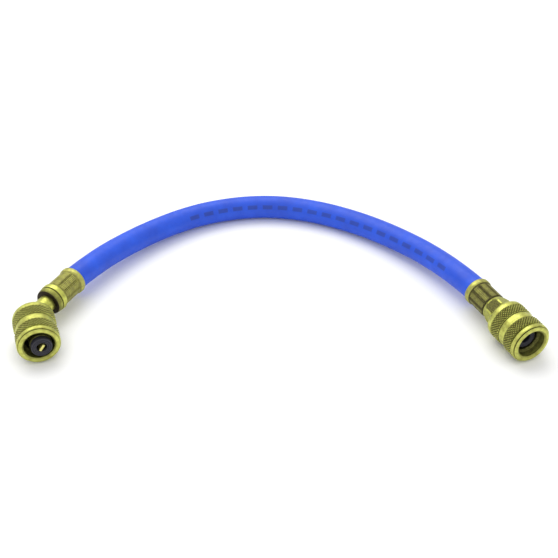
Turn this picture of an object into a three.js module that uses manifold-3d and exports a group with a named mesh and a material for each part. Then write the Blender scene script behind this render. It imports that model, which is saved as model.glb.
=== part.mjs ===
// Refrigerant charging hose: a short blue hose with a crimped brass fitting on each end.
// One fitting is an elbow of about 45 degrees with a valve core depressor, the other is straight.
// Each fitting carries a knurled coupling nut that swivels freely on its stem.
//
// Millimetres, +Z up. The hose lies on the plane z = 0: both nuts and the middle of the
// hose touch it. The origin is on that plane, in the middle of the two end fittings.
// A fitting is drawn in its own frame: local +Y runs along its axis, out of the hose,
// from the lip of the ferrule at y = 0. Local +Z stays up.

import * as THREE from 'three';
import { mergeVertices } from 'three/addons/utils/BufferGeometryUtils.js';
import Module from 'manifold-3d';

const wasm = await Module();
wasm.setup();

// Hose
const HOSE_RADIUS = 5.5;
const HOSE_BORE_RADIUS = 3.1;
const HOSE_SQUEEZED_RADIUS = 4.5; // inside a crimped ferrule
const SQUEEZE_START = 1.6; // from the ferrule's lip
const SQUEEZE_END = 3.4;
const HOSE_SIDES = 12;
const HOSE_STEPS = 30;

// Ferrule, crimped by a tool with ten jaws
const FERRULE_LENGTH = 13.1;
const FERRULE_RADIUS = 5.7;
const FERRULE_LIP_RADIUS = 6.35;
const FERRULE_BORE_RADIUS = 4.8;
const FERRULE_END_WALL = 1.2;
const CRIMPS = 10;
const CRIMP_RIDGE = 0.18;
const CRIMP_START = 4.0;

// Stems
const TUBE_RADIUS = 3.85;
const BORE_RADIUS = 1.95;
const NECK_RADIUS = 3.4;
const BARB_RADIUS = 2.7;
const BARBS = 4;
const FLANGE_RADIUS = 4.6;
const FLANGE_LENGTH = 6.7;

const RING_RADIUS = 6.4;
const RING_END = 16.5;
const NOSE_RADIUS = 5.6;
const NOSE_END = 19.2;
const ELBOW_ANGLE = 47;
const ELBOW_VERTEX = 29.7; // where the two legs of the elbow would meet
const ELBOW_BEND_RADIUS = 6.5;

const HEX_ACROSS_FLATS = 11.5;
const HEX_CHAMFER_LENGTH = 3.4;
const HEX_END = 19.2;
const HEX_CORNER_RADIUS = 6.5;

// Coupling nut
const NUT_RADIUS = 9.2;
const NUT_LENGTH = 20.4;
const NUT_MOUTH_RADIUS = 6.3;
const NUT_THREAD_RADIUS = 5.55;
const NUT_REAR_HOLE_RADIUS = 4.4;
const NUT_REAR_WALL = 2.2;
const NUT_BAND_LENGTH = 4.5;
const ELBOW_NUT_REAR = 0.2; // from the bend's vertex to the nut's rear face: the nut is slid right back
const ELBOW_NUT_COCK = 2.5; // degrees that this loose nut lies askew on its stem
const STRAIGHT_NUT_REAR = 20.5; // from the ferrule's lip

// Gasket and core depressor
const GASKET_RADIUS = 4.4;
const GASKET_BORE_RADIUS = 2.1;
const GASKET_LENGTH = 2.2;
const ELBOW_GASKET_OUT = 1.2; // how far the elbow's gasket stands out of its nut's mouth
const STRAIGHT_GASKET_IN = 4.3; // how far the straight end's gasket sits inside its nut's mouth
const BLADE_WIDTH = 3.1;
const BLADE_THICKNESS = 1.0;
const BLADE_LENGTH = 7.0;
const BLADE_OUT = 0.3; // how far the blade stands out of the gasket's face
const BLADE_TURN = 53; // degrees about the bore, from level

const TOUCH = 0.3; // gap between faces that touch or slide on the real hose
const ROUND_SIDES = 36;
const SMALL_SIDES = 20;
const BORE_SIDES = 10;

// Where each fitting's ferrule lip is, and the way that the fitting points, in degrees from +X
const AXIS_HEIGHT = NUT_RADIUS;
const ELBOW_END = { x: -90.9, y: 23.0, azimuth: 243.5 };
const STRAIGHT_END = { x: 87.5, y: 14.9, azimuth: -65.0 };

// Centreline of the free hose: one easy bend that comes down to the surface it lies on
const HOSE_POINTS = [
  [-87.5, 28.9, 9.1],
  [-80.2, 40.6, 8.5],
  [-72.2, 51.1, 7.8],
  [-63.7, 60.5, 7.2],
  [-54.9, 68.7, 6.7],
  [-45.8, 75.7, 6.3],
  [-36.4, 81.2, 6.0],
  [-26.7, 85.2, 5.7],
  [-16.8, 87.6, 5.6],
  [-6.9, 88.4, 5.6],
  [3.1, 87.7, 5.6],
  [13.0, 85.5, 5.6],
  [22.8, 81.9, 5.7],
  [32.4, 76.9, 5.9],
  [41.8, 70.8, 6.2],
  [50.8, 63.6, 6.6],
  [59.6, 55.2, 7.1],
  [68.0, 45.8, 7.7],
  [75.9, 34.9, 8.4],
  [83.1, 22.9, 9.1],
];

const BRASS = { color: 0xb9ba4e, roughness: 0.35, metalness: 1.0 };
const BLUE_RUBBER = { color: 0x2f62e0, roughness: 0.45, metalness: 0.0 };
const BLACK_RUBBER = { color: 0x2b2a33, roughness: 0.6, metalness: 0.0 };

const { degToRad } = THREE.MathUtils;

// A closed solid from a geometry: vertices merged, collapsed faces dropped, faces outwards
function solidOf(geometry) {
  const bare = geometry.clone();
  bare.deleteAttribute('normal');
  bare.deleteAttribute('uv');
  const merged = mergeVertices(bare, 1e-4);
  const vertProperties = new Float32Array(merged.attributes.position.array);
  const index = merged.index.array;
  const corner = (i) => new THREE.Vector3().fromArray(vertProperties, 3 * i);
  const faces = [];
  let volume = 0;
  for (let i = 0; i < index.length; i += 3) {
    const [a, b, c] = [index[i], index[i + 1], index[i + 2]];
    if (a !== b && b !== c && a !== c) {
      faces.push([a, b, c]);
      volume += corner(a).dot(corner(b).cross(corner(c)));
    }
  }
  const outward = volume > 0 ? faces : faces.map(([a, b, c]) => [a, c, b]);
  const triVerts = new Uint32Array(outward.flat());
  return new wasm.Manifold(new wasm.Mesh({ numProp: 3, vertProperties, triVerts }));
}

function geometryOf(solid) {
  const mesh = solid.getMesh();
  const geometry = new THREE.BufferGeometry();
  geometry.setAttribute('position', new THREE.BufferAttribute(mesh.vertProperties, 3));
  geometry.setIndex(new THREE.BufferAttribute(mesh.triVerts, 1));
  geometry.computeVertexNormals();
  return geometry;
}

// Turned about the local Y axis from [radius, y] pairs. A profile off the axis closes on itself.
function turnedGeometry(profile, sides) {
  const points = profile.map(([radius, y]) => new THREE.Vector2(radius, y));
  if (points[0].x > 0) points.push(points[0].clone());
  return new THREE.LatheGeometry(points, sides);
}

function turned(profile, sides = ROUND_SIDES) {
  return solidOf(turnedGeometry(profile, sides));
}

function cylinder(radius, from, to, sides) {
  return turned([[0, from], [radius, from], [radius, to], [0, to]], sides);
}

// A round rod swept along a curve
function swept(curve, radius, sides, steps) {
  const corners = [];
  for (let i = 0; i < sides; i += 1) {
    const angle = (2 * Math.PI * i) / sides;
    corners.push(new THREE.Vector2(radius * Math.cos(angle), radius * Math.sin(angle)));
  }
  const section = new THREE.Shape(corners);
  return solidOf(new THREE.ExtrudeGeometry(section, { steps, extrudePath: curve, bevelEnabled: false }));
}

// A fitting's frame: +Y along its azimuth, at the height of its axis
function fittingFrame({ x, y, azimuth }) {
  return new THREE.Matrix4().makeRotationZ(degToRad(azimuth - 90)).setPosition(x, y, AXIS_HEIGHT);
}

// The outlet leg's frame inside the elbow fitting's frame: origin at the bend's vertex
function outletFrame(cock = 0) {
  return new THREE.Matrix4().makeRotationZ(degToRad(ELBOW_ANGLE - cock)).setPosition(0, ELBOW_VERTEX, 0);
}

function moved(solid, matrix) {
  return solid.transform(Array.from(matrix.elements));
}

// Length of hose inside each ferrule
const HOSE_INSERT = FERRULE_LENGTH - FERRULE_END_WALL - TOUCH;

// The hose's centreline, reaching a given distance into each ferrule
function routeCurve(reach) {
  const inside = (end, distance) => new THREE.Vector3(0, distance, 0).applyMatrix4(fittingFrame(end));
  const points = [
    inside(ELBOW_END, reach),
    inside(ELBOW_END, reach / 2),
    inside(ELBOW_END, 0),
    ...HOSE_POINTS.map((point) => new THREE.Vector3(...point)),
    inside(STRAIGHT_END, 0),
    inside(STRAIGHT_END, reach / 2),
    inside(STRAIGHT_END, reach),
  ];
  return new THREE.CatmullRomCurve3(points, false, 'centripetal');
}

// The end of the hose that its ferrule squeezes on to the barbs
function squeezedEnd(end) {
  const profile = [
    [0, 0],
    [HOSE_RADIUS - 0.1, 0],
    [HOSE_RADIUS - 0.1, SQUEEZE_START],
    [HOSE_SQUEEZED_RADIUS, SQUEEZE_END],
    [HOSE_SQUEEZED_RADIUS, HOSE_INSERT],
    [0, HOSE_INSERT],
  ];
  return moved(turned(profile, SMALL_SIDES), fittingFrame(end));
}

function hose() {
  const free = swept(routeCurve(SQUEEZE_START / 2), HOSE_RADIUS, HOSE_SIDES, HOSE_STEPS);
  const bore = swept(routeCurve(HOSE_INSERT + 1), HOSE_BORE_RADIUS, HOSE_SIDES, HOSE_STEPS);
  return free.add(squeezedEnd(ELBOW_END)).add(squeezedEnd(STRAIGHT_END)).subtract(bore);
}

// Ferrule: a drawn shell with a rolled lip, its body pressed into shallow flats between ridges
function ferrule() {
  const crimpEnd = FERRULE_LENGTH - 0.8;
  const shoulder = FERRULE_LENGTH - FERRULE_END_WALL;
  const profile = [
    [HOSE_RADIUS + TOUCH, 0],
    [FERRULE_LIP_RADIUS - 0.35, 0],
    [FERRULE_LIP_RADIUS, 0.4],
    [FERRULE_LIP_RADIUS, 1.8],
    [FERRULE_LIP_RADIUS - 0.3, 2.3],
    [FERRULE_RADIUS + 0.1, 3.2],
    [FERRULE_RADIUS, CRIMP_START],
    [FERRULE_RADIUS, crimpEnd],
    [FERRULE_RADIUS - 0.4, FERRULE_LENGTH],
    [NECK_RADIUS + TOUCH, FERRULE_LENGTH],
    [NECK_RADIUS + TOUCH, shoulder],
    [FERRULE_BORE_RADIUS, shoulder],
    [FERRULE_BORE_RADIUS, SQUEEZE_END + 0.1],
    [HOSE_RADIUS + TOUCH, SQUEEZE_START + 0.2],
  ];
  const geometry = turnedGeometry(profile, 4 * CRIMPS);
  const position = geometry.attributes.position;
  for (let i = 0; i < position.count; i += 1) {
    const [x, y, z] = [position.getX(i), position.getY(i), position.getZ(i)];
    const radius = Math.hypot(x, z);
    if (radius > FERRULE_BORE_RADIUS + 0.5 && y > CRIMP_START - 0.01 && y < crimpEnd + 0.01) {
      const acrossFlat = Math.abs(Math.sin((Math.atan2(x, z) * CRIMPS) / 2));
      const share = (radius + CRIMP_RIDGE * (1 - 1.5 * acrossFlat)) / radius;
      position.setXYZ(i, x * share, y, z * share);
    }
  }
  return solidOf(geometry);
}

// The barbed tail that goes into the hose, and the neck that the ferrule grips, up to y = end
function barbedTail(end) {
  const start = 1.5;
  const neck = FERRULE_LENGTH - FERRULE_END_WALL;
  const pitch = (neck - start) / BARBS;
  const profile = [[0, start]];
  for (let i = 0; i < BARBS; i += 1) {
    profile.push([BARB_RADIUS - 0.35, start + i * pitch]);
    profile.push([BARB_RADIUS, start + (i + 0.85) * pitch]);
  }
  profile.push([BARB_RADIUS - 0.35, neck], [NECK_RADIUS, neck], [NECK_RADIUS, end], [0, end]);
  return turned(profile, SMALL_SIDES);
}

// The plain tube from y = from, and the thick end that holds the nut on, up to y = to
function flangedTube(from, to) {
  const profile = [
    [0, from],
    [TUBE_RADIUS, from],
    [TUBE_RADIUS, to - FLANGE_LENGTH],
    [FLANGE_RADIUS, to - FLANGE_LENGTH + 0.8],
    [FLANGE_RADIUS, to],
    [0, to],
  ];
  return turned(profile, SMALL_SIDES);
}

// The far ends of the two stems, where their gaskets lie
const ELBOW_OUTLET_END = ELBOW_NUT_REAR + NUT_LENGTH + ELBOW_GASKET_OUT - GASKET_LENGTH - TOUCH;
const STRAIGHT_OUTLET_END =
  STRAIGHT_NUT_REAR + NUT_LENGTH - STRAIGHT_GASKET_IN - GASKET_LENGTH - TOUCH;

// The elbow's centreline: straight, round the bend, then along the outlet leg
function elbowCurve(from, outletLength) {
  const setback = ELBOW_BEND_RADIUS * Math.tan(degToRad(ELBOW_ANGLE / 2));
  const bendStart = ELBOW_VERTEX - setback;
  const bendSteps = 6;
  const points = [
    new THREE.Vector3(0, from, 0),
    new THREE.Vector3(0, (from + bendStart) / 2, 0),
  ];
  for (let i = 0; i <= bendSteps; i += 1) {
    const turn = degToRad((ELBOW_ANGLE * i) / bendSteps);
    const sideways = -ELBOW_BEND_RADIUS * (1 - Math.cos(turn));
    points.push(new THREE.Vector3(sideways, bendStart + ELBOW_BEND_RADIUS * Math.sin(turn), 0));
  }
  const outlet = outletFrame();
  points.push(new THREE.Vector3(0, (setback + outletLength) / 2, 0).applyMatrix4(outlet));
  points.push(new THREE.Vector3(0, outletLength, 0).applyMatrix4(outlet));
  return new THREE.CatmullRomCurve3(points, false, 'centripetal');
}

// Elbow stem: tail, round collar with a tapered nose, bent tube and its thick end
function elbowStem() {
  const collarStart = FERRULE_LENGTH + TOUCH;
  const collar = turned([
    [0, collarStart],
    [RING_RADIUS - 0.5, collarStart],
    [RING_RADIUS, collarStart + 0.5],
    [RING_RADIUS, RING_END],
    [RING_RADIUS - 0.5, RING_END + 0.3],
    [RING_RADIUS - 0.25, RING_END + 0.6],
    [NOSE_RADIUS + 0.3, NOSE_END - 0.9],
    [NOSE_RADIUS, NOSE_END],
    [0, NOSE_END],
  ]);
  const plainEnd = ELBOW_OUTLET_END - FLANGE_LENGTH;
  const tube = swept(elbowCurve(NOSE_END - 1, plainEnd - 1), TUBE_RADIUS, SMALL_SIDES, 14);
  const outlet = moved(flangedTube(plainEnd - 2, ELBOW_OUTLET_END), outletFrame());
  const bore = swept(elbowCurve(0, ELBOW_OUTLET_END + 2), BORE_RADIUS, BORE_SIDES, 20);
  return barbedTail(collarStart + 1).add(collar).add(tube).add(outlet).subtract(bore);
}

// Straight stem: tail, hexagonal collar with turned corners, plain tube and its thick end
function straightStem() {
  const hexStart = FERRULE_LENGTH + TOUCH;
  const corner = HEX_ACROSS_FLATS / 2 / Math.cos(Math.PI / 6);
  const hex = cylinder(corner, hexStart, HEX_END, 6);
  const turnedCorners = turned([
    [0, hexStart],
    [FERRULE_RADIUS - 0.2, hexStart],
    [HEX_CORNER_RADIUS, hexStart + HEX_CHAMFER_LENGTH],
    [HEX_CORNER_RADIUS, HEX_END - 0.8],
    [HEX_CORNER_RADIUS - 0.8, HEX_END],
    [0, HEX_END],
  ]);
  return barbedTail(hexStart + 1)
    .add(hex.intersect(turnedCorners))
    .add(flangedTube(HEX_END - 1, STRAIGHT_OUTLET_END))
    .subtract(cylinder(BORE_RADIUS, 0, STRAIGHT_OUTLET_END + 1, BORE_SIDES));
}

// Coupling nut, rear face at y = 0: a plain land, a gripping band, a smooth waist, a second
// gripping band, a double ridge and a rounded lip. The mouth opens at y = NUT_LENGTH.
function couplingNut() {
  const rearBand = 3.5;
  const frontBand = 12.6;
  const rearBandEnd = rearBand + NUT_BAND_LENGTH;
  const frontBandEnd = frontBand + NUT_BAND_LENGTH;
  return turned([
    [NUT_REAR_HOLE_RADIUS + 1.1, 0],
    [NUT_RADIUS - 1.6, 0],
    [NUT_RADIUS - 0.7, 0.7],
    [NUT_RADIUS - 0.3, 1.6],
    [NUT_RADIUS - 0.25, rearBand - 0.2],
    [NUT_RADIUS - 0.1, rearBand],
    [NUT_RADIUS - 0.1, rearBandEnd],
    [NUT_RADIUS - 0.75, rearBandEnd + 0.2],
    [NUT_RADIUS - 0.7, frontBand - 0.3],
    [NUT_RADIUS, frontBand],
    [NUT_RADIUS, frontBandEnd],
    [NUT_RADIUS - 0.7, frontBandEnd + 0.1],
    [NUT_RADIUS - 0.7, frontBandEnd + 0.6],
    [NUT_RADIUS - 0.15, frontBandEnd + 0.8],
    [NUT_RADIUS - 0.15, frontBandEnd + 2.3],
    [NUT_RADIUS - 0.9, frontBandEnd + 2.4],
    [NUT_RADIUS - 0.9, frontBandEnd + 2.6],
    [NUT_RADIUS - 0.7, frontBandEnd + 2.8],
    [NUT_RADIUS - 0.9, NUT_LENGTH - 0.3],
    [NUT_RADIUS - 1.3, NUT_LENGTH],
    [NUT_MOUTH_RADIUS + 0.6, NUT_LENGTH],
    [NUT_MOUTH_RADIUS, NUT_LENGTH - 0.5],
    [NUT_MOUTH_RADIUS, NUT_LENGTH - 3.7],
    [NUT_THREAD_RADIUS, NUT_LENGTH - 4.5],
    [NUT_THREAD_RADIUS, NUT_REAR_WALL],
    [NUT_REAR_HOLE_RADIUS, NUT_REAR_WALL],
    [NUT_REAR_HOLE_RADIUS, 1.6],
  ]);
}

// Gasket: a moulded rubber washer with a rounded edge and a dished bore
function gasket() {
  const profile = [
    [GASKET_BORE_RADIUS, 0],
    [GASKET_RADIUS, 0],
    [GASKET_RADIUS, GASKET_LENGTH - 0.5],
    [GASKET_RADIUS - 0.4, GASKET_LENGTH],
    [GASKET_BORE_RADIUS + 0.7, GASKET_LENGTH],
    [GASKET_BORE_RADIUS, GASKET_LENGTH - 0.5],
  ];
  return turned(profile, SMALL_SIDES);
}

function mesh(name, geometry, material) {
  const piece = new THREE.Mesh(geometry, new THREE.MeshStandardMaterial(material));
  piece.name = name;
  return piece;
}

function groupAt(matrix) {
  const group = new THREE.Group();
  matrix.decompose(group.position, group.quaternion, group.scale);
  return group;
}

function nutAt(name, rear) {
  const nut = mesh(name, geometryOf(couplingNut()), BRASS);
  nut.position.y = rear;
  return nut;
}

function gasketAt(name, stemEnd) {
  const seal = mesh(name, geometryOf(gasket()), BLACK_RUBBER);
  seal.position.y = stemEnd + TOUCH;
  return seal;
}

function elbowEnd() {
  const fitting = groupAt(fittingFrame(ELBOW_END));
  fitting.add(mesh('ferrule_elbow_end', geometryOf(ferrule()), BRASS));
  fitting.add(mesh('elbow_stem', geometryOf(elbowStem()), BRASS));

  const cocked = groupAt(outletFrame(ELBOW_NUT_COCK));
  cocked.add(nutAt('coupling_nut_elbow_end', ELBOW_NUT_REAR));
  const outlet = groupAt(outletFrame());
  outlet.add(gasketAt('gasket_elbow_end', ELBOW_OUTLET_END));

  // A brass blade stands in the bore, through the gasket, to push a valve core open
  const blade = new THREE.BoxGeometry(BLADE_WIDTH, BLADE_LENGTH, BLADE_THICKNESS);
  const depressor = mesh('core_depressor', blade, BRASS);
  depressor.position.y = ELBOW_OUTLET_END + TOUCH + GASKET_LENGTH + BLADE_OUT - BLADE_LENGTH / 2;
  depressor.rotation.y = degToRad(BLADE_TURN);
  outlet.add(depressor);
  fitting.add(cocked, outlet);
  return fitting;
}

function straightEnd() {
  const fitting = groupAt(fittingFrame(STRAIGHT_END));
  fitting.add(mesh('ferrule_straight_end', geometryOf(ferrule()), BRASS));
  fitting.add(mesh('straight_stem', geometryOf(straightStem()), BRASS));
  fitting.add(nutAt('coupling_nut_straight_end', STRAIGHT_NUT_REAR));
  fitting.add(gasketAt('gasket_straight_end', STRAIGHT_OUTLET_END));
  return fitting;
}

const chargingHose = new THREE.Group();
chargingHose.add(mesh('hose', geometryOf(hose()), BLUE_RUBBER));
chargingHose.add(elbowEnd());
chargingHose.add(straightEnd());

export default chargingHose;
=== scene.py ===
# Looks of a refrigerant charging hose: a blue rubber hose between two crimped brass fittings,
# one elbowed and one straight, each with a knurled coupling nut.
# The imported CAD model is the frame. Every piece here stands for one of its nodes, in metres.
# A fitting's piece is made in the fitting's own frame, with +Y along its axis out of the hose
# and y = 0 at the lip of its ferrule, and is then laid in its place.

import math

import bpy
from mathutils import Matrix, Vector


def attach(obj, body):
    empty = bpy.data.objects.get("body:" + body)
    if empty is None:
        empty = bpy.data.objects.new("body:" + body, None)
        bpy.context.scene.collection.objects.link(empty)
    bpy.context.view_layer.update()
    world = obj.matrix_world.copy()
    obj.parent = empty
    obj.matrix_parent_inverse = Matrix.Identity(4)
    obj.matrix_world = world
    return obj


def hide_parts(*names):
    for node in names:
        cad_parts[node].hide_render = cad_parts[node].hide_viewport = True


MM = 0.001
AXIS_HEIGHT = 9.2  # both nuts stand on the floor, and each fitting's axis is a nut's radius up
ELBOW_LIP = (-90.9, 23.0, 243.5)  # x, y and the way that the fitting points, in degrees from +X
STRAIGHT_LIP = (87.5, 14.9, -65.0)
ELBOW_VERTEX = 29.7  # from the ferrule's lip to where the two legs of the elbow would meet
ELBOW_ANGLE = 47.0
ELBOW_NUT_REAR = 0.2  # from that vertex to the nut's rear face
ELBOW_NUT_COCK = 2.5  # degrees that this loose nut lies askew on its stem
STRAIGHT_NUT_REAR = 20.5
NUT_LENGTH = 20.4
ELBOW_GASKET_OUT = 1.2
STRAIGHT_GASKET_IN = 4.3
GASKET_LENGTH = 2.2
TOUCH = 0.3  # gap between pieces that touch on the real hose

HOSE_RADIUS = 5.5
HOSE_SIDES = 64
ROUTE_STEP = 1.0
HOSE_IN_FERRULE = 2.4  # how far the full round of the hose goes into a ferrule
HOSE_POINTS = [
    (-87.5, 28.9, 9.1),
    (-80.2, 40.6, 8.5),
    (-72.2, 51.1, 7.8),
    (-63.7, 60.5, 7.2),
    (-54.9, 68.7, 6.7),
    (-45.8, 75.7, 6.3),
    (-36.4, 81.2, 6.0),
    (-26.7, 85.2, 5.7),
    (-16.8, 87.6, 5.6),
    (-6.9, 88.4, 5.6),
    (3.1, 87.7, 5.6),
    (13.0, 85.5, 5.6),
    (22.8, 81.9, 5.7),
    (32.4, 76.9, 5.9),
    (41.8, 70.8, 6.2),
    (50.8, 63.6, 6.6),
    (59.6, 55.2, 7.1),
    (68.0, 45.8, 7.7),
    (75.9, 34.9, 8.4),
    (83.1, 22.9, 9.1),
]

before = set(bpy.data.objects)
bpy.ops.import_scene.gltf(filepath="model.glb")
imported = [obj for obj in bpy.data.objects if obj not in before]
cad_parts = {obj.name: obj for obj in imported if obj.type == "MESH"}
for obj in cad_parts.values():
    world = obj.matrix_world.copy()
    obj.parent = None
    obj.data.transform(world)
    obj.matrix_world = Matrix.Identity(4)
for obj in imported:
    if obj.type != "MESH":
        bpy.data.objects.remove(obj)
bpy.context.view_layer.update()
bpy.ops.object.select_all(action="DESELECT")


# Camera

# The photo's own view, solved from the ellipses of the fittings
camera_data = bpy.data.cameras.new("camera")
camera_data.lens = 66.9
camera_data.sensor_width = 36.0
camera_data.clip_start = 0.01
camera = bpy.data.objects.new("camera", camera_data)
camera.location = (0.0006, -0.34809, 0.28536)
camera.rotation_euler = (math.radians(90.0 - 36.64), 0.0, 0.0)
bpy.context.scene.collection.objects.link(camera)
bpy.context.scene.camera = camera


# Places


def fitting_frame(lip):
    """The frame of a fitting in the frame of the part, both in metres."""
    x, y, azimuth = lip
    turn = Matrix.Rotation(math.radians(azimuth - 90.0), 4, "Z")
    return Matrix.Translation((x * MM, y * MM, AXIS_HEIGHT * MM)) @ turn


def outlet_frame(cock=0.0):
    """The frame of the elbow's outlet leg, with y = 0 at the bend's vertex."""
    turn = Matrix.Rotation(math.radians(ELBOW_ANGLE - cock), 4, "Z")
    return fitting_frame(ELBOW_LIP) @ Matrix.Translation((0.0, ELBOW_VERTEX * MM, 0.0)) @ turn


def along(distance):
    return Matrix.Translation((0.0, distance * MM, 0.0))


# Hose


def smooth_route(points, step):
    """Points a step apart along a centripetal Catmull-Rom curve through the given ones."""
    ends = [points[0] * 2 - points[1], *points, points[-1] * 2 - points[-2]]
    dense = []
    for a, b, c, d in zip(ends, ends[1:], ends[2:], ends[3:]):
        t1 = (b - a).length ** 0.5
        t2 = t1 + (c - b).length ** 0.5
        t3 = t2 + (d - c).length ** 0.5
        for k in range(40):
            t = t1 + (t2 - t1) * k / 40
            ab = a * ((t1 - t) / t1) + b * (t / t1)
            bc = b * ((t2 - t) / (t2 - t1)) + c * ((t - t1) / (t2 - t1))
            cd = c * ((t3 - t) / (t3 - t2)) + d * ((t - t2) / (t3 - t2))
            abc = ab * ((t2 - t) / t2) + bc * (t / t2)
            bcd = bc * ((t3 - t) / (t3 - t1)) + cd * ((t - t1) / (t3 - t1))
            dense.append(abc * ((t2 - t) / (t2 - t1)) + bcd * ((t - t1) / (t2 - t1)))
    dense.append(points[-1])
    route = [dense[0]]
    for point in dense[1:-1]:
        if (point - route[-1]).length >= step:
            route.append(point)
    return [*route, dense[-1]]


def hose_tube(route, radius, sides):
    """A closed round tube along the route. Its UV map holds the share of a turn from the top
    towards the inside of the bow, and the distance along the hose in metres."""
    verts, faces, turns, lengths = [], [], [], []
    run = 0.0
    for i, point in enumerate(route):
        ahead = route[min(i + 1, len(route) - 1)] - route[max(i - 1, 0)]
        tangent = ahead.normalized()
        inside = tangent.cross(Vector((0.0, 0.0, 1.0))).normalized()
        up = inside.cross(tangent)
        run += (point - route[i - 1]).length if i else 0.0
        lengths.append(run)
        for j in range(sides):
            angle = 2.0 * math.pi * j / sides
            verts.append(point + (up * math.cos(angle) + inside * math.sin(angle)) * radius)
    for i in range(len(route) - 1):
        for j in range(sides):
            k = (j + 1) % sides
            faces.append((i * sides + j, (i + 1) * sides + j, (i + 1) * sides + k, i * sides + k))
            turns.append([(j / sides, lengths[i]), (j / sides, lengths[i + 1]),
                          ((j + 1) / sides, lengths[i + 1]), ((j + 1) / sides, lengths[i])])
    last = (len(route) - 1) * sides
    faces.append(tuple(range(sides)))
    turns.append([(0.0, 0.0)] * sides)
    faces.append(tuple(last + j for j in reversed(range(sides))))
    turns.append([(0.0, run)] * sides)
    mesh = bpy.data.meshes.new("hose_cover")
    mesh.from_pydata(verts, [], faces)
    layer = mesh.uv_layers.new(name="round_and_along")
    for polygon, corners in zip(mesh.polygons, turns):
        for loop, corner in zip(polygon.loop_indices, corners):
            layer.data[loop].uv = corner
    piece = bpy.data.objects.new("hose_cover", mesh)
    bpy.context.scene.collection.objects.link(piece)
    bpy.context.view_layer.objects.active = piece
    piece.select_set(True)
    bpy.ops.object.mode_set(mode="EDIT")
    bpy.ops.mesh.select_all(action="SELECT")
    bpy.ops.mesh.normals_make_consistent(inside=False)
    bpy.ops.object.mode_set(mode="OBJECT")
    bpy.ops.object.shade_smooth_by_angle(angle=math.radians(40.0))
    piece.select_set(False)
    return piece


inside_elbow = fitting_frame(ELBOW_LIP)
inside_straight = fitting_frame(STRAIGHT_LIP)
hose_route = smooth_route(
    [
        inside_elbow @ Vector((0.0, HOSE_IN_FERRULE * MM, 0.0)),
        inside_elbow.translation,
        *[Vector(point) * MM for point in HOSE_POINTS],
        inside_straight.translation,
        inside_straight @ Vector((0.0, HOSE_IN_FERRULE * MM, 0.0)),
    ],
    ROUTE_STEP * MM,
)
hose = hose_tube(hose_route, HOSE_RADIUS * MM, HOSE_SIDES)


# Turned pieces, as on a lathe


def weld():
    """Merges the drawn mesh where its ends meet, faces it outwards and leaves edit mode."""
    bpy.ops.mesh.select_all(action="SELECT")
    bpy.ops.mesh.remove_doubles(threshold=0.002 * MM)
    bpy.ops.mesh.select_all(action="SELECT")
    bpy.ops.mesh.normals_make_consistent(inside=False)
    bpy.ops.object.mode_set(mode="OBJECT")


def turned(name, profile, steps):
    """A profile of (radius, y) in millimetres, drawn point by point and spun about the Y axis.
    A profile that doesn't start on the axis is closed on itself."""
    points = list(profile) if profile[0][0] == 0 else [*profile, profile[0]]
    bpy.ops.mesh.primitive_plane_add(size=MM, location=(0.0, 0.0, 0.0))
    piece = bpy.context.object
    piece.name = name
    bpy.ops.object.mode_set(mode="EDIT")
    bpy.ops.mesh.select_all(action="SELECT")
    bpy.ops.mesh.merge(type="CENTER")
    bpy.ops.transform.translate(value=(points[0][0] * MM, points[0][1] * MM, 0.0))
    for (r0, y0), (r1, y1) in zip(points, points[1:]):
        move = ((r1 - r0) * MM, (y1 - y0) * MM, 0.0)
        bpy.ops.mesh.extrude_vertices_move(TRANSFORM_OT_translate={"value": move})
    bpy.ops.mesh.select_all(action="SELECT")
    bpy.ops.mesh.spin(
        steps=steps,
        angle=2.0 * math.pi,
        center=(0.0, 0.0, 0.0),
        axis=(0.0, 1.0, 0.0),
    )
    weld()
    return piece


def polar(co):
    """Radius and y in millimetres, and the angle from +X towards +Z in degrees, of a point."""
    return math.hypot(co.x, co.z) / MM, co.y / MM, math.degrees(math.atan2(co.z, co.x)) % 360.0


def choose(piece, wanted):
    """Selects the vertices of which wanted(radius, y, angle) is true, and enters edit mode."""
    bpy.context.view_layer.objects.active = piece
    bpy.ops.object.mode_set(mode="EDIT")
    bpy.ops.mesh.select_mode(type="VERT")
    bpy.ops.mesh.select_all(action="DESELECT")
    bpy.ops.object.mode_set(mode="OBJECT")
    for vertex in piece.data.vertices:
        vertex.select = wanted(*polar(vertex.co))
    bpy.ops.object.mode_set(mode="EDIT")


def press(piece, wanted, depth, radius):
    """Moves the chosen vertices, which lie at about this radius, towards the axis."""
    choose(piece, wanted)
    share = (radius - depth) / radius
    bpy.ops.transform.resize(value=(share, 1.0, share), center_override=(0.0, 0.0, 0.0))
    bpy.ops.object.mode_set(mode="OBJECT")


def soften(piece, degrees):
    """Smooth shading, with edges sharper than this angle kept."""
    bpy.ops.object.select_all(action="DESELECT")
    piece.select_set(True)
    bpy.context.view_layer.objects.active = piece
    bpy.ops.object.shade_smooth_by_angle(angle=math.radians(degrees))
    piece.select_set(False)


def mark(piece, painted_shade_of):
    """Stores each vertex's place in the frame that the piece is made in, in millimetres, and how
    much painted shade lies there, for the materials to read. 0 leaves the metal bare, 1 darkens
    it up to its specks, and more darkens the specks too."""
    mesh = piece.data
    mesh.attributes.new("place", "FLOAT_VECTOR", "POINT")
    mesh.attributes.new("painted_shade", "FLOAT", "POINT")
    places = mesh.attributes["place"].data
    painted_shades = mesh.attributes["painted_shade"].data
    for vertex in mesh.vertices:
        places[vertex.index].vector = vertex.co / MM
        painted_shades[vertex.index].value = painted_shade_of(*polar(vertex.co))


def joined(name, pieces):
    bpy.ops.object.select_all(action="DESELECT")
    for piece in pieces:
        piece.select_set(True)
    bpy.context.view_layer.objects.active = pieces[0]
    bpy.ops.object.join()
    pieces[0].name = name
    pieces[0].select_set(False)
    return pieces[0]


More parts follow.
